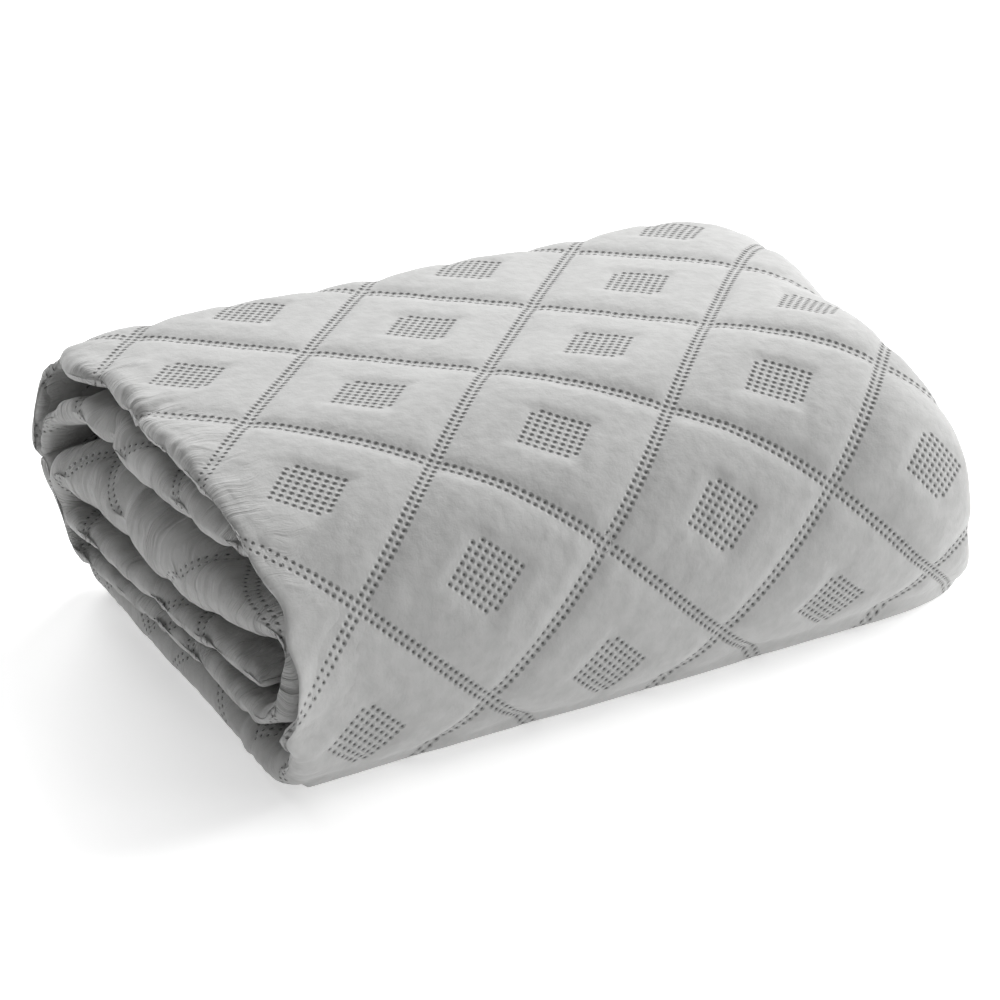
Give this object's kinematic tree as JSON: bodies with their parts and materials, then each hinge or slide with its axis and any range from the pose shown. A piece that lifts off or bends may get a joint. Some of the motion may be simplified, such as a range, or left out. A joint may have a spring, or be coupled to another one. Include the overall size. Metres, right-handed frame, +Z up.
{
  "type": "folded bedspread",
  "caption": "Quilted bedspread folded into an oblong bundle, with its outer layer wrapped over back-and-forth inner folds and a pressed-dot diamond quilting.",
  "frame": {"origin": "middle of the bundle's underside, at the height of the surface it lies on", "axes": "+X along the bundle, away from the end where its folds show; +Y to its back; +Z up"},
  "size_m": [0.4808, 0.3354, 0.1665],
  "materials": {
    "quilted_microfibre": "matt brushed microfibre, light grey, with a soft sheen"
  },
  "bodies": {
    "root": {"bedspread": "quilted_microfibre"}
  },
  "joints": []
}
